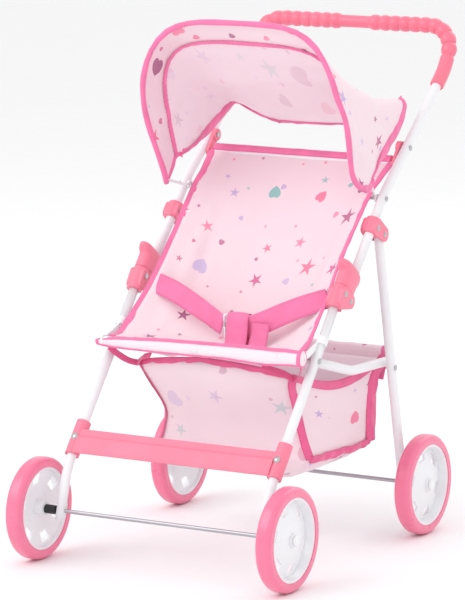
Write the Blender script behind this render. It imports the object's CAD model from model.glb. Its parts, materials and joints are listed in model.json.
import json
import math

import bmesh
import bpy
import numpy as np
from mathutils import Matrix, Vector, noise


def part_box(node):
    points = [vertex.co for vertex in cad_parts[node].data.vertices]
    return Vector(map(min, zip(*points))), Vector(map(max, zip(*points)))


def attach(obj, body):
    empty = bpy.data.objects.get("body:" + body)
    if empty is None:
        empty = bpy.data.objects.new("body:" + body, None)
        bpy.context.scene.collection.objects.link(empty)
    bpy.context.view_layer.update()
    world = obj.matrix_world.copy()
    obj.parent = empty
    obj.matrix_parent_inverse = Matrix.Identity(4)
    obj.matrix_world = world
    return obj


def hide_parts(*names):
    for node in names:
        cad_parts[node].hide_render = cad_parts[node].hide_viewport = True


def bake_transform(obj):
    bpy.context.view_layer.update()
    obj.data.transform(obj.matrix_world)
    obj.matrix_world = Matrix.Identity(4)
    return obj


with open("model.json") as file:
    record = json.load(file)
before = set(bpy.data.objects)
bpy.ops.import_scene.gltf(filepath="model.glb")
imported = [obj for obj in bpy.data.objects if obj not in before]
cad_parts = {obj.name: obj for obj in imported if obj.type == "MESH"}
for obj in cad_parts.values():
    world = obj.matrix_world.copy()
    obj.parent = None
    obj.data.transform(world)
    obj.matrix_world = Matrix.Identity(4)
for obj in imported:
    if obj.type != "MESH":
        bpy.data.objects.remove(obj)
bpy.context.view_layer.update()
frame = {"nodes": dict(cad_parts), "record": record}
nodes = frame["nodes"]

# ---------------------------------------------------------------- places
# Millimetres from the front axle's middle line, turned into the frame's metres.
axle_low, axle_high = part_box("front_axle")
AXLE_Y = (axle_low[1] + axle_high[1]) / 2


def at(x, y, z):
    return np.array([x / 1000, AXLE_Y + y / 1000, z / 1000])


def many(points):
    return np.array([at(*p) for p in points])


SIDES = (("left", 1), ("right", -1))


def flip(points):
    """The same points on the other side."""
    return points * np.array([-1, 1, 1])


# ---------------------------------------------------------------- materials
def linear(rgb):
    return tuple((c / 255 / 12.92) if c <= 10 else ((c / 255 + 0.055) / 1.055) ** 2.4 for c in rgb)


# The layer that holds each sheet's and tape's own coordinates, in metres along the cloth.
CUT_LAYER = "cut"


class Nodes:
    """Short names for building a material's node tree."""

    def __init__(self, name):
        self.mat = bpy.data.materials.new(name)
        self.mat.use_nodes = True
        self.tree = self.mat.node_tree
        self.bsdf = self.tree.nodes["Principled BSDF"]

    def add(self, kind, **settings):
        n = self.tree.nodes.new(kind)
        for k, v in settings.items():
            setattr(n, k, v)
        return n

    def link(self, a, b):
        self.tree.links.new(a, b)

    def put(self, value, socket):
        if isinstance(value, bpy.types.NodeSocket):
            self.link(value, socket)
        else:
            socket.default_value = value

    def math(self, op, a, b=None, c=None):
        n = self.add("ShaderNodeMath", operation=op)
        for i, v in enumerate((a, b, c)):
            if v is not None:
                self.put(v, n.inputs[i])
        return n.outputs[0]

    def vector(self, op, a, b=None):
        n = self.add("ShaderNodeVectorMath", operation=op)
        self.put(a, n.inputs[0])
        if b is not None:
            self.put(b, n.inputs[1])
        return n.outputs["Value" if op == "LENGTH" else "Vector"]

    def vector_from(self, value):
        n = self.add("ShaderNodeCombineXYZ")
        for i in range(3):
            self.link(value, n.inputs[i])
        return n.outputs[0]

    def mix(self, factor, a, b):
        n = self.add("ShaderNodeMix", data_type="RGBA")
        self.put(factor, n.inputs[0])
        self.put(a if isinstance(a, bpy.types.NodeSocket) else (*a, 1), n.inputs[6])
        self.put(b if isinstance(b, bpy.types.NodeSocket) else (*b, 1), n.inputs[7])
        return n.outputs[2]

    def waves(self, coord, per_metre):
        """Height that rises and falls per_metre times in each metre."""
        return self.math("ABSOLUTE", self.math("SINE", self.math("MULTIPLY", coord, per_metre * math.pi)))

    def ramp(self, factor, stops, constant=False):
        n = self.add("ShaderNodeValToRGB")
        n.color_ramp.interpolation = "CONSTANT" if constant else "LINEAR"
        e = n.color_ramp.elements
        while len(e) < len(stops):
            e.new(0.5)
        for el, (pos, col) in zip(e, stops):
            el.position = pos
            el.color = (*col, 1)
        self.put(factor, n.inputs[0])
        return n.outputs[0]

    def noise(self, coord, scale, detail=2):
        n = self.add("ShaderNodeTexNoise", noise_dimensions="3D")
        self.link(coord, n.inputs["Vector"])
        n.inputs["Scale"].default_value = scale
        n.inputs["Detail"].default_value = detail
        n.inputs["Roughness"].default_value = 0.5
        return n.outputs["Fac"]

    def object_coord(self):
        return self.add("ShaderNodeTexCoord").outputs["Object"]

    def uv(self):
        return self.add("ShaderNodeUVMap", uv_map=CUT_LAYER).outputs["UV"]

    def bump(self, height, strength, distance):
        n = self.add("ShaderNodeBump")
        n.inputs["Strength"].default_value = strength
        n.inputs["Distance"].default_value = distance
        self.link(height, n.inputs["Height"])
        return n.outputs[0]

    def set(self, **values):
        for k, v in values.items():
            self.bsdf.inputs[k.replace("_", " ")].default_value = v


WHITE = linear((238, 238, 241))
PINK_PLASTIC = linear((246, 130, 156))
PINK_FOAM = linear((246, 122, 146))
TYRE = linear((243, 120, 156))
WEB = linear((245, 122, 172))
DEEP_PINK = linear((238, 98, 150))
CLOTH = linear((244, 220, 228))
CLOTH_INSIDE = linear((246, 229, 236))
CLOTH_REVERSE = linear((244, 221, 229))
MOULDING_WHITE = linear((240, 240, 242))
BLACK = linear((34, 34, 38))
STEEL = linear((196, 194, 200))
ZINC = linear((206, 206, 208))
FLOOR = linear((250, 250, 251))


def coated(name, colour, rough, speck=0.02, coat=0.0, peel=900, peel_depth=0.00004):
    """Painted or moulded surface: slight mottling, fine peel and rubbed roughness."""
    m = Nodes(name)
    p = m.object_coord()
    broad = m.noise(p, 28, 3)
    fine = m.noise(p, peel, 2)
    dark = tuple(c * (1 - speck * 3) for c in colour)
    light = tuple(min(1, c * (1 + speck)) for c in colour)
    m.link(m.ramp(broad, [(0.3, dark), (0.7, light)]), m.bsdf.inputs["Base Color"])
    m.link(m.math("MULTIPLY_ADD", m.noise(p, 90, 3), 0.16, rough - 0.08), m.bsdf.inputs["Roughness"])
    m.link(m.bump(fine, 0.35, peel_depth), m.bsdf.inputs["Normal"])
    m.set(Coat_Weight=coat, Coat_Roughness=0.25)
    return m.mat


def metal(name, colour, rough, stretch=(1, 1, 1)):
    m = Nodes(name)
    p = m.vector("MULTIPLY", m.object_coord(), stretch)
    streak = m.noise(p, 700, 3)
    dark = tuple(c * 0.72 for c in colour)
    m.link(m.ramp(streak, [(0.25, dark), (0.75, colour)]), m.bsdf.inputs["Base Color"])
    m.link(m.math("MULTIPLY_ADD", streak, 0.25, rough - 0.1), m.bsdf.inputs["Roughness"])
    m.link(m.bump(streak, 0.3, 0.00004), m.bsdf.inputs["Normal"])
    m.set(Metallic=1.0)
    return m.mat


def weave_height(m, uv, threads_per_m):
    """Over and under threads as a height, from the cloth's own coordinates."""
    split = m.add("ShaderNodeSeparateXYZ")
    m.link(uv, split.inputs[0])
    a = m.waves(split.outputs[0], threads_per_m)
    b = m.waves(split.outputs[1], threads_per_m)
    return m.math("ADD", m.math("MULTIPLY", a, 0.5), m.math("MULTIPLY", b, 0.5))


# How far the shapes stray from a regular grid, and how deep a star's notches are against its tips.
SCATTER = 0.62
STAR_NOTCH = 0.36


def shapes_layer(m, uv, cell, biggest, smallest, hearts_below, seed):
    """Scattered stars and hearts: returns (inside, random value) from the cloth's own coordinates."""
    shifted = m.vector("ADD", uv, (seed, seed * 0.7, 0))
    v = m.add("ShaderNodeTexVoronoi", voronoi_dimensions="2D", feature="F1")
    m.link(shifted, v.inputs["Vector"])
    v.inputs["Scale"].default_value = 1 / cell
    v.inputs["Randomness"].default_value = SCATTER
    rand = m.add("ShaderNodeSeparateColor")
    m.link(v.outputs["Color"], rand.inputs[0])
    r1, r2, r3 = rand.outputs
    d = m.vector("SUBTRACT", shifted, v.outputs["Position"])
    size = m.math("MULTIPLY_ADD", r2, biggest - smallest, smallest)
    turn = m.math("MULTIPLY", r1, 2 * math.pi)
    rot = m.add("ShaderNodeVectorRotate", rotation_type="Z_AXIS")
    m.link(d, rot.inputs["Vector"])
    m.link(turn, rot.inputs["Angle"])
    local = m.vector("DIVIDE", rot.outputs[0], m.vector_from(size))
    s = m.add("ShaderNodeSeparateXYZ")
    m.link(local, s.inputs[0])
    x, y = s.outputs[0], s.outputs[1]
    # a five-pointed star: the edge between a tip and a notch, repeated round the centre
    tip = math.radians(36)
    r = m.vector("LENGTH", local)
    angle = m.math("ARCTAN2", y, x)
    phase = m.math("ABSOLUTE", m.math("SUBTRACT", m.math("FLOORED_MODULO", angle, 2 * tip), tip))
    phase = m.math("SUBTRACT", tip, phase)
    to_notch = m.math("MULTIPLY", m.math("SINE", m.math("SUBTRACT", tip, phase)), STAR_NOTCH)
    edge = m.math("DIVIDE", STAR_NOTCH * math.sin(tip), m.math("ADD", m.math("SINE", phase), to_notch))
    star = m.math("LESS_THAN", r, edge)
    # a heart: (x2 + y2 - 1)^3 < x2 y3
    hx, hy = m.math("MULTIPLY", x, 1.35), m.math("MULTIPLY", y, 1.25)
    xx, yy = m.math("MULTIPLY", hx, hx), m.math("MULTIPLY", hy, hy)
    q = m.math("SUBTRACT", m.math("ADD", xx, yy), 1.0)
    cube = m.math("MULTIPLY", m.math("MULTIPLY", q, q), q)
    heart = m.math("LESS_THAN", cube, m.math("MULTIPLY", xx, m.math("MULTIPLY", yy, hy)))
    is_heart = m.math("LESS_THAN", r3, hearts_below)
    inside = m.math("ADD", m.math("MULTIPLY", heart, is_heart),
                    m.math("MULTIPLY", star, m.math("SUBTRACT", 1.0, is_heart)))
    return inside, m.math("FRACT", m.math("MULTIPLY", m.math("ADD", r1, r3), 7.31))


PRINT_COLOURS = [(150, 38, 108), (206, 62, 132), (238, 96, 142), (186, 164, 212), (104, 184, 178),
                 (176, 52, 122), (242, 120, 160), (196, 178, 220)]
# Small and large shapes: cell, biggest and smallest size in metres, share of hearts, seed, share of ink.
PRINT_LAYERS = [(0.037, 0.0050, 0.0018, 0.22, 3.1, 0.9), (0.052, 0.0112, 0.0058, 0.36, 9.7, 1.0)]
THREADS_PER_M = 1300


def printed_cloth(name, base, strength, seed=0.0):
    """Thin woven polyester, printed with scattered stars and hearts in several sizes."""
    m = Nodes(name)
    uv = m.uv()
    cloudy = m.noise(uv, 14, 3)
    ground = m.ramp(cloudy, [(0.3, tuple(c * 0.955 for c in base)), (0.72, base)])
    stops = [(i / len(PRINT_COLOURS), linear(c)) for i, c in enumerate(PRINT_COLOURS)]
    colour = ground
    pale = tuple(min(1, c * 1.1) for c in base)
    for cell, big, small, hearts, layer_seed, share in PRINT_LAYERS:
        inside, value = shapes_layer(m, uv, cell, big, small, hearts, seed + layer_seed)
        ink = m.ramp(value, stops, constant=True)
        ink = m.mix(m.math("MULTIPLY", m.noise(uv, 900, 2), 0.22), ink, pale)
        colour = m.mix(m.math("MULTIPLY", inside, strength * share), colour, ink)
    m.link(colour, m.bsdf.inputs["Base Color"])
    threads = weave_height(m, uv, THREADS_PER_M)
    slub = m.noise(uv, 160, 3)
    height = m.math("ADD", m.math("MULTIPLY", threads, 0.7), m.math("MULTIPLY", slub, 0.6))
    m.link(m.bump(height, 0.35, 0.00012), m.bsdf.inputs["Normal"])
    m.link(m.math("MULTIPLY_ADD", slub, 0.2, 0.5), m.bsdf.inputs["Roughness"])
    m.set(Sheen_Weight=0.25, Sheen_Roughness=0.4)
    return m.mat


STITCH_LENGTH = 0.0028
STITCH_WIDTH = 0.0004


def webbing_cloth(name, colour, ribs=700, stitched=None):
    """Narrow ribbed tape. stitched is how far from its middle a row of stitches runs on each side."""
    m = Nodes(name)
    uv = m.uv()
    split = m.add("ShaderNodeSeparateXYZ")
    m.link(uv, split.inputs[0])
    across, along = split.outputs[0], split.outputs[1]
    rib = m.waves(along, ribs)
    twill = m.waves(m.math("ADD", across, along), 900)
    cloudy = m.noise(uv, 45, 3)
    dark = tuple(c * 0.88 for c in colour)
    light = tuple(min(1, c * 1.05) for c in colour)
    tone = m.ramp(cloudy, [(0.3, dark), (0.7, light)])
    if stitched:
        dash_wave = m.math("SINE", m.math("MULTIPLY", along, 2 * math.pi / STITCH_LENGTH))
        dash = m.math("GREATER_THAN", dash_wave, -0.2)
        from_row = m.math("ABSOLUTE", m.math("SUBTRACT", m.math("ABSOLUTE", across), stitched))
        row = m.math("LESS_THAN", from_row, STITCH_WIDTH)
        thread = m.math("MULTIPLY", dash, row)
        tone = m.mix(m.math("MULTIPLY", thread, 0.75), tone, tuple(min(1, c * 0.7) for c in colour))
    m.link(tone, m.bsdf.inputs["Base Color"])
    height = m.math("ADD", m.math("MULTIPLY", rib, 0.6), m.math("MULTIPLY", twill, 0.4))
    m.link(m.bump(height, 0.45, 0.00018), m.bsdf.inputs["Normal"])
    m.link(m.math("MULTIPLY_ADD", cloudy, 0.2, 0.48), m.bsdf.inputs["Roughness"])
    m.set(Sheen_Weight=0.35, Sheen_Roughness=0.35)
    return m.mat


STRAP_STITCH = 0.0085
BINDING_STITCH = 0.0035
BINDING_RIBS = 1100

M_TUBE = coated("white_powder_coat", WHITE, 0.34, 0.012, coat=0.15, peel=1100, peel_depth=0.00005)
M_PLASTIC = coated("pink_moulded_plastic", PINK_PLASTIC, 0.42, 0.02)
M_FOAM = coated("pink_grip_foam", PINK_FOAM, 0.38, 0.03, coat=0.2, peel=1600, peel_depth=0.00006)
M_TYRE = coated("pink_tyre", TYRE, 0.3, 0.02, coat=0.45, peel=500, peel_depth=0.00003)
M_RIM = coated("white_rim", WHITE, 0.42, 0.004, coat=0.1, peel=260, peel_depth=0.00001)
M_WHITE = coated("white_moulding", MOULDING_WHITE, 0.3, 0.01, coat=0.2)
M_DARK = coated("black_nylon", BLACK, 0.5, 0.06)
M_STEEL = metal("drawn_rod", STEEL, 0.3, (0.03, 1, 1))
M_RIVET = metal("zinc_rivet", ZINC, 0.28)
M_PRINT = printed_cloth("printed_cloth", CLOTH, 0.92, 0.0)
M_LINING = printed_cloth("cloth_reverse", CLOTH_INSIDE, 0.2, 0.4)
M_FAINT = printed_cloth("cloth_reverse_bright", CLOTH_REVERSE, 0.42, 0.4)
M_WEB = webbing_cloth("pink_webbing", WEB, stitched=STRAP_STITCH)
M_BIND = webbing_cloth("pink_binding", WEB, ribs=BINDING_RIBS, stitched=BINDING_STITCH)
M_PIPING = webbing_cloth("pink_piping", WEB, ribs=BINDING_RIBS)
M_DEEP = webbing_cloth("deep_pink_binding", DEEP_PINK, ribs=BINDING_RIBS, stitched=BINDING_STITCH)

BY_SLOT = {
    "white_tube": M_TUBE, "steel_rod": M_STEEL, "rivet_metal": M_RIVET, "pink_plastic": M_PLASTIC,
    "pink_foam": M_FOAM, "tyre_pink": M_TYRE, "rim_white": M_RIM, "white_plastic": M_WHITE,
    "dark_plastic": M_DARK,
}
slot_of = {s["node"]: s["material_slot"] for s in frame["record"]["subparts"]}
for name, obj in nodes.items():
    mat = BY_SLOT.get(slot_of[name])
    if mat:
        obj.data.materials.clear()
        obj.data.materials.append(mat)

# Moulded and turned parts get a small rounded edge, this many millimetres wide.
EDGES = {
    "footrest": 0.9, "lower_knuckle_left": 0.9, "lower_knuckle_right": 0.9, "upper_bracket_left": 0.9,
    "upper_bracket_right": 0.9, "seat_bar_clips": 0.7, "seat_back_tabs": 0.8, "canopy_clips": 0.6,
    "front_axle_bushes": 0.3, "rear_axle_bushes": 0.3,
}
for name, width in EDGES.items():
    b = nodes[name].modifiers.new("edge", "BEVEL")
    b.width = width / 1000
    b.segments = 3
    b.limit_method = "ANGLE"
    b.angle_limit = math.radians(35)
    b.use_clamp_overlap = True


# ---------------------------------------------------------------- mesh builders
def spline(points, n):
    """n points evenly along a smooth curve through the given ones."""
    p = np.array(points, float)
    ext = np.vstack([2 * p[0] - p[1], p, 2 * p[-1] - p[-2]])
    out = []
    for i in range(1, len(ext) - 2):
        a, b, c, d = ext[i - 1], ext[i], ext[i + 1], ext[i + 2]
        for t in np.linspace(0, 1, 24, endpoint=False):
            square, cubic = 2 * a - 5 * b + 4 * c - d, 3 * b - a - 3 * c + d
            out.append(0.5 * (2 * b + (c - a) * t + square * t * t + cubic * t ** 3))
    out.append(p[-1])
    return resample(np.array(out), n)


def lengths_along(path):
    return np.concatenate([[0], np.cumsum(np.linalg.norm(np.diff(path, axis=0), axis=1))])


def matched(curve, shares):
    """Points at the given shares of a curve's length."""
    along = lengths_along(curve)
    s = np.array(shares) * along[-1]
    return np.stack([np.interp(s, along, curve[:, k]) for k in range(curve.shape[1])], axis=1)


def resample(curve, n):
    return matched(curve, np.linspace(0, 1, n))


def spread(rows, n):
    """The same run of directions at n even steps."""
    old, new = np.linspace(0, 1, len(rows)), np.linspace(0, 1, n)
    return np.stack([np.interp(new, old, rows[:, k]) for k in range(3)], axis=1)


ARC_STEP = math.radians(8)


def rounded(points, radii):
    """A path with its inner corners turned into arcs."""
    p = [np.array(q, float) for q in points]
    out = [p[0]]
    for i in range(1, len(p) - 1):
        u = (p[i] - p[i - 1]) / np.linalg.norm(p[i] - p[i - 1])
        v = (p[i + 1] - p[i]) / np.linalg.norm(p[i + 1] - p[i])
        w = np.cross(u, v)
        w /= np.linalg.norm(w)
        turn = math.acos(np.clip(np.dot(u, v), -1, 1))
        side = np.cross(u, w)
        centre = p[i] - u * radii[i] * math.tan(turn / 2) - side * radii[i]
        n = max(3, math.ceil(turn / ARC_STEP))
        for k in range(n + 1):
            a = turn * k / n
            out.append(centre + radii[i] * (math.cos(a) * side + math.sin(a) * u))
    out.append(p[-1])
    return np.array(out)


def hoop(side, bends):
    """A path up one side, over and down the other, its corners bent to the given radii."""
    points = side + [(-x, y, z) for x, y, z in side[::-1]]
    return rounded(many(points), bends + bends[::-1])


def cross_directions(p):
    """Two steady directions across a path at each point."""
    t = np.gradient(p, axis=0)
    t /= np.linalg.norm(t, axis=1)[:, None]
    first = np.array([0.0, 0.0, 1.0])
    if abs(np.dot(first, t[0])) > 0.9:
        first = np.array([0.0, 1.0, 0.0])
    n = first - np.dot(first, t[0]) * t[0]
    n /= np.linalg.norm(n)
    ns = [n]
    for i in range(1, len(p)):
        n = ns[-1] - np.dot(ns[-1], t[i]) * t[i]
        ns.append(n / np.linalg.norm(n))
    ns = np.array(ns)
    return ns, np.cross(t, ns)


def make(name, verts, faces, mats, uv=None, face_mat=None):
    """A smooth-shaded object whose faces all look outward."""
    mesh = bpy.data.meshes.new(name)
    mesh.from_pydata([tuple(v) for v in verts], [], faces)
    for m in mats if isinstance(mats, (list, tuple)) else [mats]:
        mesh.materials.append(m)
    if face_mat is not None:
        mesh.polygons.foreach_set("material_index", face_mat)
    if uv is not None:
        layer = mesh.uv_layers.new(name=CUT_LAYER)
        loops = np.array([l.vertex_index for l in mesh.loops])
        layer.data.foreach_set("uv", np.array(uv, float)[loops].ravel())
    mesh.polygons.foreach_set("use_smooth", [True] * len(mesh.polygons))
    mesh.update()
    bm = bmesh.new()
    bm.from_mesh(mesh)
    bmesh.ops.recalc_face_normals(bm, faces=bm.faces)
    bm.to_mesh(mesh)
    bm.free()
    obj = bpy.data.objects.new(name, mesh)
    bpy.context.scene.collection.objects.link(obj)
    return obj


def ring_faces(n, k):
    """The quads between n rings of k points each, and a face over each end."""
    quads = [[i * k + j, i * k + (j + 1) % k, (i + 1) * k + (j + 1) % k, (i + 1) * k + j]
             for i in range(n - 1) for j in range(k)]
    return quads + [list(range(k))[::-1], [(n - 1) * k + j for j in range(k)]]


def section_sweep(name, path, sections, mat, a_dir, b_dir):
    """Sweeps closed sections, given as [k, 2] offsets along a_dir and b_dir at each point, along a path."""
    n, k = len(path), sections.shape[1]
    verts = path[:, None, :] + sections[:, :, :1] * a_dir[:, None, :]
    verts = (verts + sections[:, :, 1:] * b_dir[:, None, :]).reshape(-1, 3)
    uv = np.stack([sections[:, :, 0].reshape(-1), np.repeat(lengths_along(path), k)], axis=1)
    return make(name, verts, ring_faces(n, k), mat, uv)


def tube(name, path, radius, mat, sides=28):
    radius = np.full(len(path), radius) if np.isscalar(radius) else np.array(radius)
    n, b = cross_directions(path)
    ang = np.linspace(0, 2 * math.pi, sides, endpoint=False)
    ring = np.stack([np.cos(ang), np.sin(ang)], axis=1)
    return section_sweep(name, path, radius[:, None, None] * ring[None], mat, n, b)


def band(name, path, width, thick, mat, face, wave=0.0, seed=0, puff=1.0):
    """A flat tape along a path. face gives its outward direction at each point."""
    t = np.gradient(path, axis=0)
    t /= np.linalg.norm(t, axis=1)[:, None]
    f = np.array(face, float)
    if f.ndim == 1:
        f = np.repeat(f[None], len(path), axis=0)
    f = f - (f * t).sum(1)[:, None] * t
    f /= np.linalg.norm(f, axis=1)[:, None]
    side = np.cross(t, f)
    width = np.full(len(path), width) if np.isscalar(width) else np.array(width)
    half = 9
    s = np.linspace(-1, 1, half)
    lens = thick * (0.25 + 0.75 * puff * (1 - np.abs(s) ** 3))
    top = np.stack([s, lens], axis=1)
    low = np.stack([s[::-1], -lens[::-1] * 0.9], axis=1)
    loop = np.vstack([top, low])
    sections = np.repeat(loop[None], len(path), axis=0)
    sections[:, :, 0] *= (width / 2)[:, None]
    if wave:
        for i, q in enumerate(path):
            for j in range(sections.shape[1]):
                v = Vector(q * 90) + Vector((sections[i, j, 0] * 160, seed, 0))
                sections[i, j, 1] += wave * noise.noise(v)
    return section_sweep(name, path, sections, mat, side, f)


def grid_normals(g, wrap=False):
    if wrap:
        du = np.roll(g, -1, axis=0) - np.roll(g, 1, axis=0)
    else:
        du = np.gradient(g, axis=0)
    dv = np.gradient(g, axis=1)
    n = np.cross(du, dv)
    return n / np.maximum(np.linalg.norm(n, axis=2), 1e-12)[:, :, None]


CLOTH_THICK = 0.001


def cloth(name, g, mats, wrap=False, uv_offset=(0, 0), turn_out=1, both_until=0):
    """A closed thin sheet from a grid of points.

    Its outside takes the first material and its inside the second, but columns before both_until take
    the first on both sides."""
    nu, nv = g.shape[:2]
    n = grid_normals(g, wrap) * turn_out
    outer, inner = g + n * CLOTH_THICK / 2, g - n * CLOTH_THICK / 2
    du = np.linalg.norm(np.diff(g, axis=0), axis=2).mean(axis=1)
    dv = np.linalg.norm(np.diff(g, axis=1), axis=2).mean(axis=0)
    us, vs = np.concatenate([[0], np.cumsum(du)]), np.concatenate([[0], np.cumsum(dv)])
    uv = np.stack(np.meshgrid(us + uv_offset[0], vs + uv_offset[1], indexing="ij"), axis=2).reshape(-1, 2)
    verts = np.vstack([outer.reshape(-1, 3), inner.reshape(-1, 3)])
    k = nu * nv
    faces, mat_index = [], []
    last = nu if wrap else nu - 1
    for i in range(last):
        for j in range(nv - 1):
            a, b = i * nv + j, (i + 1) % nu * nv + j
            quad = [a, b, b + 1, a + 1]
            faces.append(quad if turn_out > 0 else quad[::-1])
            mat_index.append(0)
            faces.append([q + k for q in (quad[::-1] if turn_out > 0 else quad)])
            mat_index.append(0 if j < both_until else 1)
    rims = [[i * nv for i in range(nu)], [i * nv + nv - 1 for i in range(nu)]]
    if not wrap:
        rims += [list(range(nv)), [(nu - 1) * nv + j for j in range(nv)]]
    for r in rims:
        pairs = list(zip(r, r[1:])) + ([(r[-1], r[0])] if wrap else [])
        for a, b in pairs:
            faces.append([a, b, b + k, a + k])
            mat_index.append(1)
    return make(name, verts, faces, mats, np.vstack([uv, uv]), mat_index)


def ripple(p, size, seed):
    """Noise at a point, with size waves in each metre."""
    return noise.noise(Vector((p[0] * size[0] + seed, p[1] * size[1], p[2] * size[2])))


# ---------------------------------------------------------------- tubes
# The legs' and the basket arms' distance from the middle in millimetres, and the tubes' radius in metres.
TRACK, ARM = 112.0, 102.0
TUBE_RADIUS = 0.00475
HANDLE_TOP = [(TRACK, 371, 453), (TRACK, 392.5, 494)]
HANDLE_BENDS = [0.06, 0.028]

handle = hoop([(TRACK, 155, 244.9), (TRACK, 242.5, 345)] + HANDLE_TOP, [0, 0.1] + HANDLE_BENDS)
o = tube("push_handle_tube", handle, TUBE_RADIUS, M_TUBE)
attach(o, "handle_frame")
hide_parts("handle_tube")

arm = hoop([(ARM, 101, 200.5), (ARM, 192, 174.5), (ARM, 288, 171)], [0, 0.06, 0.016])
o = tube("basket_frame_tube", arm, TUBE_RADIUS, M_TUBE)
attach(o, "basket_frame")
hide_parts("basket_frame")

for side, sx in SIDES:
    leg = many([(sx * TRACK, -2.7, 41), (sx * TRACK, 11.5, 90.5), (sx * TRACK, 149.8, 260.5)])
    o = tube(f"front_leg_tube_{side}", rounded(leg, [0, 0.07, 0]), TUBE_RADIUS, M_TUBE)
    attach(o, "front_frame")
    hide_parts(f"front_leg_{side}")

# ---------------------------------------------------------------- foam grip
# In millimetres: a smooth middle, ten beads on each side of it and a plain length down each leg.
SMOOTH_HALF = 17.0
BEAD_PITCH = 11.4
BEADS = 10
SMOOTH_RADIUS, VALLEY_RADIUS, BEAD_HEIGHT, LEG_STEP = 6.3, 5.9, 2.1, 1.2
END_ROUND = 1.6
grip_path = resample(hoop([(TRACK, 353, 437.9)] + HANDLE_TOP, [0] + HANDLE_BENDS), 620)
along = lengths_along(grip_path)
from_mid = np.abs(along - along[-1] / 2) * 1000
beads_end = SMOOTH_HALF + BEAD_PITCH * BEADS
bead = np.clip((from_mid - SMOOTH_HALF) / BEAD_PITCH, 0, BEADS)
beaded = VALLEY_RADIUS + BEAD_HEIGHT * np.sqrt(np.abs(np.sin(np.pi * bead)))
r_grip = np.where((from_mid > SMOOTH_HALF) & (from_mid < beads_end), beaded, SMOOTH_RADIUS)
step_up = np.clip((from_mid - beads_end) / 4, 0, 1)
r_grip = np.where(from_mid >= beads_end, VALLEY_RADIUS + LEG_STEP * step_up, r_grip)
from_end = np.clip((along[-1] * 500 - from_mid) / END_ROUND, 0, 1)
r_grip = r_grip - (1 - np.sqrt(1 - (1 - from_end) ** 2))
o = tube("foam_grip", grip_path, r_grip / 1000, M_FOAM, 32)
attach(o, "handle_frame")
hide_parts("handle_grip")

# ---------------------------------------------------------------- lock sleeves
# Each row: height up the leg tube, front edge, rear edge, half width, in millimetres from the leg's axis.
LEG_LEAN = math.radians(39.13)
UP_LEG = np.array([0, math.sin(LEG_LEAN), math.cos(LEG_LEAN)])
REAR_OF_LEG = np.array([0, math.cos(LEG_LEAN), -math.sin(LEG_LEAN)])
# The point on the leg that the heights are measured from, and the front of the sleeve behind its tab.
SLEEVE_ORIGIN = (129.7, 235.6)
TAB_EDGE = -8
SLEEVE_ROWS = [
    (37.0, -7.2, 19.0, 7.0), (37.4, -7.8, 19.9, 7.7), (42, -7.8, 20.2, 7.7), (46, -7.9, 20.8, 7.7),
    (49, -8.0, 21.8, 7.7), (51, -8.3, 22.8, 7.6), (52.5, -9.6, 23.6, 7.5), (54, -12.2, 24.0, 7.4),
    (56, -14.6, 24.1, 7.2), (58, -15.4, 23.8, 7.1),
    (59.4, -15.2, 23.0, 6.9), (60.4, -14.2, 21.6, 6.4), (60.9, -12.6, 19.6, 5.6),
]


def sleeve(name, sx):
    rows = spline(np.array(SLEEVE_ROWS, float), 46)
    k = 48
    ang = np.linspace(0, 2 * math.pi, k, endpoint=False)
    verts = []
    for s, front, back, w in rows:
        c, half = (front + back) / 2, (back - front) / 2
        for a in ang:
            across = w * np.sign(math.cos(a)) * abs(math.cos(a)) ** (2 / 3.2)
            along = half * np.sign(math.sin(a)) * abs(math.sin(a)) ** (2 / 2.3)
            # the finger tab is narrower than the sleeve behind it
            if c + along < TAB_EDGE:
                across *= 1 - 0.35 * ((TAB_EDGE - c - along) / 8) ** 2
            verts.append(at(sx * TRACK, *SLEEVE_ORIGIN) + np.array([across, 0, 0]) / 1000
                         + (UP_LEG * s + REAR_OF_LEG * (c + along)) / 1000)
    return make(name, verts, ring_faces(len(rows), k), M_PLASTIC)


for side, sx in SIDES:
    o = sleeve(f"lock_sleeve_moulding_{side}", sx)
    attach(o, f"lock_sleeve_{side}")
    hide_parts(f"lock_sleeve_{side}")

# ---------------------------------------------------------------- seat sling
# From the front bar to the back rod, as depth and height along its edges and along its middle.
HALF = 101.0
nu, nv = 61, 90
edge_line = spline([(80, 209.5), (95, 211), (110, 220), (137, 245), (166, 278), (191, 304), (212, 325),
                    (232, 344), (255, 358), (276, 370.5)], nv)
mid_line = spline([(80, 210.5), (92, 207), (107, 204), (125, 207), (150, 221), (180, 251), (215, 296),
                   (250, 341), (276, 370.5)], nv)
# How far the edges are drawn in between the bar and the rod: the near one by an arc, the far one by this.
NEAR_PULL = 2.5
FAR_PULL = ([0, 0.12, 0.3, 0.42, 0.55, 0.7, 0.85, 1], [0, 1, 7, 9.8, 10.4, 9.6, 8.8, 1])
us = np.linspace(-1, 1, nu)
sling = np.zeros((nu, nv, 3))
for i, u in enumerate(us):
    k = 1 - abs(u) ** 2.3
    for j in range(nv):
        e, c = edge_line[j], mid_line[j]
        yz = e * (1 - k) + c * k
        v = j / (nv - 1)
        pull = NEAR_PULL * math.sin(math.pi * v) if u > 0 else np.interp(v, *FAR_PULL)
        sling[i, j] = at(u * (HALF - pull), yz[0], yz[1])
n = grid_normals(sling)
fade_v = np.sin(np.pi * np.linspace(0, 1, nv)) ** 0.5
for i, u in enumerate(us):
    side = math.exp(-((abs(u) - 0.78) / 0.2) ** 2)
    for j in range(nv):
        p = sling[i, j]
        w = 1.6 * ripple(p, (34, 7, 7), 3.1) + side * 3.4 * ripple(p, (70, 9, 9), 8.2)
        w += 0.5 * ripple(p, (60, 60, 60), 5.0)
        sling[i, j] += n[i, j] * w * 0.001 * fade_v[j] * min(1, (1 - abs(u)) * 8 + 0.1)
seat = cloth("seat_sling_cloth", sling, [M_PRINT, M_LINING], uv_offset=(0.11, 0.02))


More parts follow.
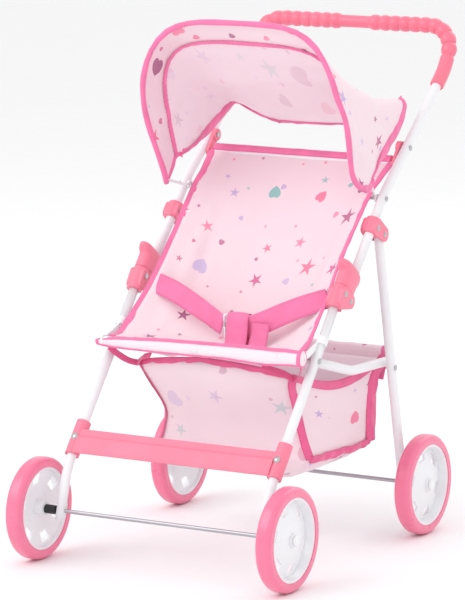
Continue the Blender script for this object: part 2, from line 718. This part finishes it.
def sling_point(x, j):
    """A point on the finished sling, x in millimetres and j along it."""
    u = np.clip(x / HALF, -1, 1)
    i = (u + 1) / 2 * (nu - 1)
    a = int(min(math.floor(i), nu - 2))
    f = i - a
    return sling[a, j] * (1 - f) + sling[a + 1, j] * f


sling_n = grid_normals(sling)
if sling_n[nu // 2, nv // 2][2] < 0:
    sling_n = -sling_n
seat_parts = [seat]
for side, i in (("left", nu - 1), ("right", 0)):
    path = resample(sling[i] + np.array([0.0012 * np.sign(i - 1), 0, 0]), 110)
    face = spread(sling_n[i], 110)
    seat_parts.append(band(f"seat_edge_binding_{side}", path, 0.0082, 0.0010, M_BIND, face, 0.0006, 3))
top = np.array([sling_point(x, nv - 1) for x in np.linspace(-102, 102, 70)])
top = top + np.array([0, 0.0015, 0.0012])
seat_parts.append(band("seat_top_binding", top, 0.0098, 0.0036, M_BIND, (0, -0.75, 0.66), 0.0006, 5))

# The front hem is a sleeve of cloth round the bar, bound along its seams.
SEAT_BAR = (78, 205)
BODY_ROWS = 126
xs = np.concatenate([np.linspace(-115, 110.8, BODY_ROWS), [111.4, 111.9, 112.2, 112.4, 112.54]])
turns = np.linspace(0, 2 * math.pi, 32, endpoint=False)


def hem_point(x, a, grow=0.0):
    """A point on the roll of cloth: flattened at its far end, baggy and closed at its near end."""
    full = min(1.0, (x + 119) / 26) ** 0.6
    up = np.interp(x, [-115, -94, -45, 30, 109], [0.3, 3.4, 6.6, 8.3, 8.6])
    down = np.interp(x, [-115, -94, -45, 30, 73, 98], [4.6, 6.2, 6.9, 6.1, 8.6, 6.0])
    shut = min(1.0, max(0.0, (112.55 - x) / 1.7)) ** 0.5
    r = 5.2 * (0.75 + 0.25 * full) + np.interp(x, [96, 106], [0, 1.3])
    r += 0.5 * noise.noise(Vector((x / 11, math.cos(a) * 1.3, math.sin(a) * 1.3)))
    tall = (up if math.sin(a) > 0 else down) + 0.5 * noise.noise(Vector((x / 17, 4, 0)))
    bar_y, bar_z = SEAT_BAR
    return at(x, bar_y + (r + grow) * shut * math.cos(a), bar_z + (tall + grow) * shut * math.sin(a))


hem_grid = np.array([[hem_point(x, a) for x in xs] for a in turns])
hem = cloth("seat_front_hem", hem_grid, [M_PRINT, M_LINING], wrap=True, uv_offset=(0.3, 0.9), turn_out=-1)
hem_parts = [hem]
for k, a, width in ((1, math.radians(118), 0.0046), (2, math.radians(238), 0.0036)):
    line = np.array([hem_point(x, a, 0.5) for x in xs[:BODY_ROWS]])
    out = (0, math.cos(a), math.sin(a))
    hem_parts.append(band(f"seat_hem_binding_{k}", line, width, 0.0009, M_PIPING, out, 0.0005, k))
for side, x_end, grow in (("left", 109.6, 0.6), ("right", -115.5, 0.2)):
    ring = np.array([hem_point(x_end, a, grow) for a in np.linspace(0, 2 * math.pi, 48)])
    out = np.array([[0, math.cos(a), math.sin(a)] for a in np.linspace(0, 2 * math.pi, 48)])
    hem_parts.append(band(f"seat_hem_end_{side}", ring, 0.0042, 0.0010, M_PIPING, out, 0.0006, 7))
for o in hem_parts:
    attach(o, "front_frame")

# ---------------------------------------------------------------- belt
def strap(name, points, width, faces, seed, thick=0.0009, mat=M_WEB):
    """A tape through points in millimetres. faces gives its outward direction from its start to its end."""
    path = spline(many(points), 60)
    f = spline(np.array(faces, float), 60)
    return band(name, path, width, thick, mat, f, 0.0007, seed, puff=0.6)


belt = [
    strap("waist_strap_far",
          [(-96.5, 149, 253.7), (-71, 140, 249), (-46.5, 131.5, 241.8), (-22.3, 123, 233.3),
           (2, 114.5, 223.5)],
          0.0205,
          [(0.3, -0.85, 0.4), (0.25, -0.9, 0.25), (0.15, -0.95, 0.1), (0.1, -0.98, -0.1),
           (0.1, -0.98, -0.17)],
          1),
    strap("waist_strap_near",
          [(102, 145, 253.5), (84, 134, 247), (66, 123.5, 239), (50, 115, 231), (37, 111.5, 226),
           (24, 113, 224)],
          0.0215,
          [(-0.3, -0.85, 0.3), (-0.2, -0.95, 0.1), (-0.1, -0.98, -0.1), (0, -1, -0.1)],
          2),
]
CROTCH_X = 22.5
CROTCH_LOOP = [(99, 201), (103.5, 209), (106.5, 220), (108, 231), (111, 236.8), (115.5, 236.5),
               (118.5, 230), (118, 218), (113, 207)]
crotch = [
    strap("crotch_loop", [(CROTCH_X, y, z) for y, z in CROTCH_LOOP], 0.0235,
          [(0, -0.95, 0.2), (0, -0.98, 0.2), (0, -0.98, 0.15), (0, -0.5, 0.85), (0, 0.6, 0.8), (0, 1, 0),
           (0, 1, -0.2)],
          3, 0.0011),
    strap("crotch_tail", [(45.5, 103, 204), (45.8, 107, 211), (46.2, 109.4, 220), (46.5, 110.5, 229.5)],
          0.0195, [(0, -0.95, 0.3), (0, -0.97, 0.2)], 4),
]
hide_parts("waist_strap_right")
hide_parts("waist_strap_left")
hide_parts("crotch_strap")
ring_corners = many([(6.6, 111.2, 223), (6.6, 110.2, 234.6), (10.6, 113.4, 235), (10.6, 115.4, 211.5),
                     (6.6, 112.6, 211), (6.6, 111.2, 223)])
ring_path = rounded(ring_corners, [0, 0.0014, 0.0014, 0.0014, 0.0014, 0])
ring = tube("belt_ring_moulding", ring_path, 0.0011, M_WHITE, 12)
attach(ring, "front_frame")
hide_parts("belt_ring")

# ---------------------------------------------------------------- basket
# Levels down a wall, and steps across the front or the back and along a side.
LEVELS = 26
ACROSS, ALONG_SIDE = 30, 24
front_corner = spline(many([(87, 105, 181), (83.5, 106, 172), (78, 126, 146), (76, 136, 128),
                            (80, 138, 110), (85.5, 138.5, 95)]), LEVELS)
rear_corner = spline(many([(94, 272, 173), (90, 262, 160), (89, 256, 140), (89, 255, 115),
                           (89, 256, 92)]), LEVELS)


def ring_at(t):
    """One loop round the basket at level t, from the front right corner round."""
    near_f, near_r = front_corner[t], rear_corner[t]
    far_f, far_r = flip(near_f), flip(near_r)
    low = t / (LEVELS - 1)
    high = 1 - low
    belly = math.sin(math.pi * low)
    side_drop = -0.016 * high - 0.002 * low
    # each wall's two corners, its steps and how far its middle bows
    sides = [(far_f, near_f, ACROSS, (0, -0.008 * belly - 0.012 * high, 0.009 * high - 0.012 * low)),
             (near_f, near_r, ALONG_SIDE, (0.004 * belly, 0, side_drop)),
             (near_r, far_r, ACROSS, (0, 0.004 * belly, -0.012 * low)),
             (far_r, far_f, ALONG_SIDE, (-0.004 * belly, 0, side_drop))]
    return np.array([a * (1 - s) + b * s + np.array(bow) * math.sin(math.pi * s)
                     for a, b, steps, bow in sides for s in np.linspace(0, 1, steps, endpoint=False)])


walls = np.stack([ring_at(t) for t in range(LEVELS)], axis=1)
base_rings = []
bottom = walls[:, -1]
centre = at(0, 196, 66)
# The floor of the bag sags to its middle in rings of these sizes.
for q in (0.9, 0.78, 0.62, 0.45, 0.28, 0.12, 0.03):
    flat = bottom * q + centre * (1 - q)
    flat[:, 2] = bottom[:, 2] * q ** 4 + centre[2] * (1 - q ** 4)
    base_rings.append(flat)
basket_grid = np.concatenate([walls, np.stack(base_rings, axis=1)], axis=1)
bag_normals = grid_normals(basket_grid, True)
rows, columns = basket_grid.shape[:2]
for i in range(rows):
    for j in range(1, columns):
        p = basket_grid[i, j]
        w = 1.5 * ripple(p, (24, 24, 16), 1.7) + 0.7 * ripple(p, (60, 60, 45), 9.1)
        basket_grid[i, j] = p + bag_normals[i, j] * w * 0.001 * min(1, j / 5)
bag = cloth("basket_cloth", basket_grid, [M_PRINT, M_LINING, M_FAINT], wrap=True, uv_offset=(0.5, 0.3),
            turn_out=-1)
# Where the four corners are on each loop: front right, front left, rear left and rear right.
i_fr, i_fl, i_rl, i_rr = 0, ACROSS, ACROSS + ALONG_SIDE, ACROSS + ALONG_SIDE + ACROSS
# The front and back walls are the same cloth turned round, so its reverse faces out.
for f in bag.data.polygons:
    row = min(f.vertices) % (rows * columns) // columns
    if f.material_index == 0 and (row < i_fl or i_rl <= row < i_rr):
        f.material_index = 2
basket_parts = [bag]
down = range(LEVELS)
left_side = range(i_fl, i_rl + 1)
right_side = range(i_rr, i_rr + ALONG_SIDE + 1)
front_side = range(i_fr, i_fl + 1)
BAND_STEPS = 60


def wall_band(name, idx, js, width, face, wave=0.0008, thick=0.0009, push=0.0):
    """A tape along part of the basket's grid, at rows idx and levels js, moved outward by push."""
    idx, js = np.broadcast_arrays(idx, js)
    path = resample(basket_grid[idx % rows, js], BAND_STEPS) + np.array(face) * push
    bulge = 0.78 + 0.3 * np.sin(np.linspace(0, math.pi, BAND_STEPS)) if "top_edge" in name else 1.0
    return band(name, path, width * bulge * np.ones(BAND_STEPS), thick, M_DEEP, face, wave, len(name))


for side, i, sx in (("left", i_fl, 1), ("right", i_fr, -1)):
    basket_parts.append(wall_band(f"basket_front_edge_{side}", i, down, 0.0085, (sx * 0.75, -0.66, 0)))
for side, i, sx in (("left", i_rl, 1), ("right", i_rr, -1)):
    basket_parts.append(wall_band(f"basket_rear_edge_{side}", i, down, 0.0165, (sx, -0.1, 0),
                                  0.0014, 0.0018, push=0.0018))
for side, idx, sx in (("left", left_side, 1), ("right", right_side, -1)):
    basket_parts.append(wall_band(f"basket_low_edge_{side}", idx, LEVELS - 1, 0.0078, (sx, 0, -0.25),
                                  0.0026, 0.0014, push=0.0016))
for side, idx, sx in (("left", left_side, 1), ("right", right_side, -1)):
    basket_parts.append(wall_band(f"basket_top_edge_{side}", idx, 0, 0.0085, (sx, 0, 0.1), 0.0006))
basket_parts.append(wall_band("basket_top_edge_front", front_side, 0, 0.0075, (0, -1, 0.1), 0.0006))
# The back wall's top is folded over the frame's rear bar.
FOLD_HALF = 92
fold_rows = [(271, 152), (276, 163), (279.5, 174), (282.5, 181.5), (289, 182.5), (294.5, 177), (295.5, 168),
             (293.5, 158)]
fold_across = np.linspace(-FOLD_HALF, FOLD_HALF, 50)
fold = np.array([[at(x, y, z) for y, z in spline(fold_rows, 16)] for x in fold_across])
for i in range(fold.shape[0]):
    for j in range(fold.shape[1]):
        fold[i, j, 2] += 0.0007 * noise.noise(Vector((i / 4, j / 3, 2)))
over = cloth("basket_back_fold", fold, [M_PRINT, M_LINING], uv_offset=(0.9, 0.1))
fold_parts = [over]
for side, sx in SIDES:
    edge = spline([at(sx * FOLD_HALF, y, z) for y, z in fold_rows], 40)
    out = np.array([[sx * 0.3, y - 285, z - 170] for y, z in spline(fold_rows, 40)])
    fold_parts.append(band(f"basket_fold_edge_{side}", edge, 0.008, 0.0009, M_BIND, out, 0.0006, 4))
# Loops of binding carry the front corners from the ends of the seat bar.
for side, sx in SIDES:
    for k, pts in enumerate(([(87, 104, 180), (95, 98, 183), (102, 90, 190), (107, 82, 198)],
                             [(87, 103, 180), (80, 97, 185.5), (72, 90, 190), (62, 86, 193)])):
        o = strap(f"basket_hanger_{side}_{k + 1}", [(sx * x, y, z) for x, y, z in pts], 0.0065,
                  [(0, -0.8, 0.5), (0, -0.7, 0.7)], 5 + k, mat=M_DEEP)
        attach(o, "front_frame")

# ---------------------------------------------------------------- canopy
def arch(c, s, yp, zp, lean, w, h, e, bow):
    """A point on a squared-off arch, tipped back by lean degrees: w wide each way, h high, e square."""
    x = w * np.sign(c) * np.abs(c) ** (2 / e)
    r = h * np.abs(s) ** (2 / e)
    b = bow * 4 * (r / h) * (1 - r / h)
    sl, cl = math.sin(math.radians(lean)), math.cos(math.radians(lean))
    return x, yp - r * sl - b * cl, zp + r * cl - b * sl


# Steps along each arch, from its near foot to its far one, and columns from the rim to the rear edge.
ARCH_STEPS = 121
HOOD_COLUMNS = 34
# The column that the seam runs along: what is ahead of it is the visor.
SEAM_COLUMN = 9
RIM = dict(yp=207.5, zp=340.6, lean=19.2, w=113.6, h=182.9, e=4.01, bow=20.1)
# The rim's lowest part is drawn in by the cloth, so it is placed point by point.
RIM_SIDE = [(107.8, 183.5, 368), (109.4, 176, 384), (111.6, 168.4, 403), (112.2, 160, 425)]
rim_near = many([(108.8, 208, 353.5), (108.3, 201, 353.8), (107.9, 193.5, 357.5)] + RIM_SIDE)
rim_far = many([(108.8, 196, 345), (108.3, 193.5, 349.5), (107.9, 190.5, 356)] + RIM_SIDE)
RIM_START = 0.43
turn_up = np.linspace(RIM_START, math.pi - RIM_START, 21)
rim_high = np.array([at(*arch(np.cos(a), np.sin(a), **RIM)) for a in turn_up])
rim = resample(spline(np.vstack([rim_near, rim_high, flip(rim_far[::-1])]), 400), ARCH_STEPS)
MID = dict(yp=213.9, zp=371.7, lean=21.7, w=109.5, h=130.4, e=3.67, bow=-0.8)
mid_arch = [at(*arch(np.cos(a), np.sin(a), **MID)) for a in np.linspace(0, math.pi, 721)]
mid = resample(np.vstack([at(108.5, 211, 352.5), mid_arch, at(-109.3, 213.6, 370)]), ARCH_STEPS)
# The rear edge, from its near foot up to its near shoulder, across, and down to its far foot.
rear = spline(many([
    (104.6, 227, 358), (104.6, 234.5, 364.5), (104.5, 241.5, 372.5), (104.5, 254, 381.5), (104.5, 266, 390),
    (104.5, 279, 399.5), (104.5, 289, 409), (104.5, 295.5, 419), (103.5, 298.5, 426.5), (97, 301, 428.5),
    (86, 301, 421), (66, 300, 409), (44, 299.5, 402.5), (20, 299, 401), (0, 299, 400.6), (-20, 299, 400),
    (-44, 299.5, 401), (-62, 300, 406.5), (-76, 300.5, 413.5), (-85, 301, 418), (-91.5, 301, 417.5),
    (-94, 297, 413), (-95, 287, 407.5), (-96.5, 268, 397), (-98.5, 252, 387.5), (-102, 240, 379.5),
    (-105, 228, 374.5), (-107, 218, 371.5)]), ARCH_STEPS)


def shoulder(curve):
    """How far along a curve its near and far shoulders are, as shares measured from each end."""
    along = lengths_along(curve)
    wide = np.abs(curve[:, 0]) > 0.93 * np.abs(curve[:, 0]).max()
    inside = np.nonzero(~wide)[0]
    return along[inside[0]] / along[-1], 1 - along[inside[-1]] / along[-1]


SIDE_SHARE = 0.42


def shares(near, far):
    """Steps that give each side SIDE_SHARE of them, wherever the curve's own shoulders are."""
    steps = np.linspace(0, 1, ARCH_STEPS)
    return np.interp(steps, [0, SIDE_SHARE, 1 - SIDE_SHARE, 1], [0, near, 1 - far, 1])


rim_steps = matched(rim, shares(*shoulder(rim)))
mid_steps = matched(mid, shares(*shoulder(mid)))
rear_steps = matched(rear, shares(0.267, 0.241))
# The visor is straight from the rim to the seam. Behind it the cloth sags between its edges.
hood = np.zeros((ARCH_STEPS, HOOD_COLUMNS, 3))
for i in range(ARCH_STEPS):
    a = i / (ARCH_STEPS - 1)
    topness = math.sin(math.pi * a) ** 3
    for j in range(HOOD_COLUMNS):
        if j < SEAM_COLUMN:
            f = j / SEAM_COLUMN
            p = rim_steps[i] * (1 - f) + mid_steps[i] * f
        else:
            f = (j - SEAM_COLUMN) / (HOOD_COLUMNS - 1 - SEAM_COLUMN)
            p = mid_steps[i] * (1 - f) + rear_steps[i] * f
            sag = math.sin(math.pi * f)
            p = p + np.array([0, 0, -0.007 * sag * topness])
        hood[i, j] = p
hood_normals = grid_normals(hood)
for i in range(ARCH_STEPS):
    for j in range(HOOD_COLUMNS):
        p = hood[i, j]
        free = min(1, j / 3, (HOOD_COLUMNS - 1 - j) / 3 + 0.2) * min(1, min(i, ARCH_STEPS - 1 - i) / 4)
        seam = 0.35 + 0.65 * min(1, abs(j - SEAM_COLUMN) / 3)
        w = 2.4 * ripple(p, (20, 20, 20), 4.4) + 2.3 * ripple(p, (12, 52, 52), 7.7)
        w += 0.8 * ripple(p, (60, 60, 60), 2.2)
        hood[i, j] = p + hood_normals[i, j] * w * 0.001 * free * seam
canopy = cloth("hood_cloth", hood, [M_PRINT, M_LINING], uv_offset=(0.2, 0.6), turn_out=-1,
               both_until=SEAM_COLUMN)
hood_parts = [canopy]
hood_normals = grid_normals(hood)
centre_of_hood = at(0, 230, 400)
hood_normals *= np.sign(((hood - centre_of_hood) * hood_normals).sum())
piping_radius = 0.0028 + 0.0002 * np.sin(np.linspace(0, 60, 200))
hood_parts.append(tube("hood_front_piping", resample(hood[:, 0], 200), piping_radius, M_PIPING, 20))
# The front wire leaves the rim at each foot and runs down to its pin.
near_end = many([(103.2, 236, 339.2), (104.2, 231.5, 349), (105.8, 221, 356)])
far_end = many([(-104.5, 222, 341), (-103.2, 236, 339.2)])
wire_path = np.vstack([near_end, resample(hood[:, 0], 120)[1:-1], far_end])
front_wire = tube("hood_front_wire", wire_path, 0.0014, M_TUBE, 12)
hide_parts("canopy_front_hoop")
# The rear binding is widest down the sides: shares are from its middle to each foot.
REAR_STEPS = 220
rear_path = resample(hood[:, HOOD_COLUMNS - 1], REAR_STEPS)
from_middle = np.abs(np.linspace(-1, 1, REAR_STEPS))
rear_w = np.interp(from_middle, [0, 0.36, 0.45, 0.6, 0.8, 1],
                   [0.0058, 0.0062, 0.0095, 0.0098, 0.012, 0.0095])
rear_face = spread(hood_normals[:, HOOD_COLUMNS - 1], REAR_STEPS)
hood_parts.append(band("hood_rear_binding", rear_path, rear_w, 0.0019, M_PIPING, rear_face, 0.0014, 8))
LOBES = [
    ("left", 1, 0.0085,
     [(108.6, 205, 353.6), (108.2, 211.5, 351.4), (107, 218, 351.6), (105.5, 224, 354.2),
      (104.8, 229.5, 359)]),
    ("right", -1, 0.005,
     [(-108.8, 195.5, 346), (-108.8, 201.5, 352), (-109, 208, 361), (-109, 213.5, 369.5),
      (-106, 224, 373.5)]),
]
for side, sx, width, points in LOBES:
    hood_parts.append(band(f"hood_foot_binding_{side}", spline(many(points), 40), width, 0.0024, M_PIPING,
                           (sx, -0.2, 0), 0.0008, 9))
# The seam's tape and the mid wire in it lie this far inside the cloth.
SEAM_INSET = 0.0015
SEAM_STEPS = 260
seam_line = hood[:, SEAM_COLUMN] - hood_normals[:, SEAM_COLUMN] * SEAM_INSET
seam_w = 0.0056 + 0.0007 * np.sin(np.arange(SEAM_STEPS) * 1.9)
hood_parts.append(band("hood_seam_tape", resample(seam_line, SEAM_STEPS), seam_w, 0.0013, M_BIND,
                       spread(hood_normals[:, SEAM_COLUMN], SEAM_STEPS), 0.0002, 6))
wire = tube("hood_mid_wire", resample(seam_line[3:-3], 120), 0.0011, M_TUBE, 12)
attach(wire, "canopy_mid_arch")
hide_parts("canopy_mid_hoop")

# ---------------------------------------------------------------- how the cloth rides
for o in seat_parts + belt:
    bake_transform(o)
for o in crotch:
    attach(o, "front_frame")
for o in basket_parts:
    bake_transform(o)
for o in fold_parts:
    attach(o, "basket_frame")
for o in hood_parts + [front_wire]:
    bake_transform(o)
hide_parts("seat_sling")
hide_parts("basket")
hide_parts("canopy")

# ---------------------------------------------------------------- floor, light and camera
floor_mat = coated("pale_floor", FLOOR, 0.75, 0.003)
bpy.ops.mesh.primitive_plane_add(size=14, location=(0, 0, -0.0005))
floor = bpy.context.object
floor.name = "floor"
floor.data.materials.append(floor_mat)
bpy.context.scene.view_settings.view_transform = "Standard"

world = bpy.data.worlds.new("studio")
bpy.context.scene.world = world
world.use_nodes = True
background = world.node_tree.nodes["Background"]
background.inputs["Color"].default_value = (1, 1, 1, 1)
background.inputs["Strength"].default_value = 0.96


def area_light(name, location, target, size, power):
    data = bpy.data.lights.new(name, "AREA")
    data.size = size
    data.energy = power
    obj = bpy.data.objects.new(name, data)
    bpy.context.scene.collection.objects.link(obj)
    obj.location = location
    obj.rotation_euler = (Vector(target) - Vector(location)).to_track_quat("-Z", "Y").to_euler()


area_light("key", (-1.1, -1.6, 1.9), (0, 0, 0.25), 1.6, 17)
area_light("fill", (1.8, -1.2, 1.2), (0, 0, 0.25), 1.8, 3.5)
area_light("rim", (0.4, 1.6, 1.5), (0, 0, 0.3), 1.4, 6)

AZIMUTH, ELEVATION, ROLL = math.radians(29.95), math.radians(9.8), math.radians(-0.22)
CAMERA_DISTANCE = 3.4552
SENSOR_MM, LENS_MM = 36, 223.1502
target = Vector(at(79.51, 0, 271.92))
level = math.cos(ELEVATION)
back = Vector((math.sin(AZIMUTH) * level, -math.cos(AZIMUTH) * level, math.sin(ELEVATION)))
cam_data = bpy.data.cameras.new("camera")
cam = bpy.data.objects.new("camera", cam_data)
bpy.context.scene.collection.objects.link(cam)
cam_data.sensor_width = SENSOR_MM
cam_data.lens = LENS_MM
cam_data.clip_end = 30
cam.location = target + back * CAMERA_DISTANCE
cam.rotation_mode = "QUATERNION"
cam.rotation_quaternion = back.to_track_quat("Z", "Y") @ Matrix.Rotation(ROLL, 3, "Z").to_quaternion()
bpy.context.scene.camera = cam
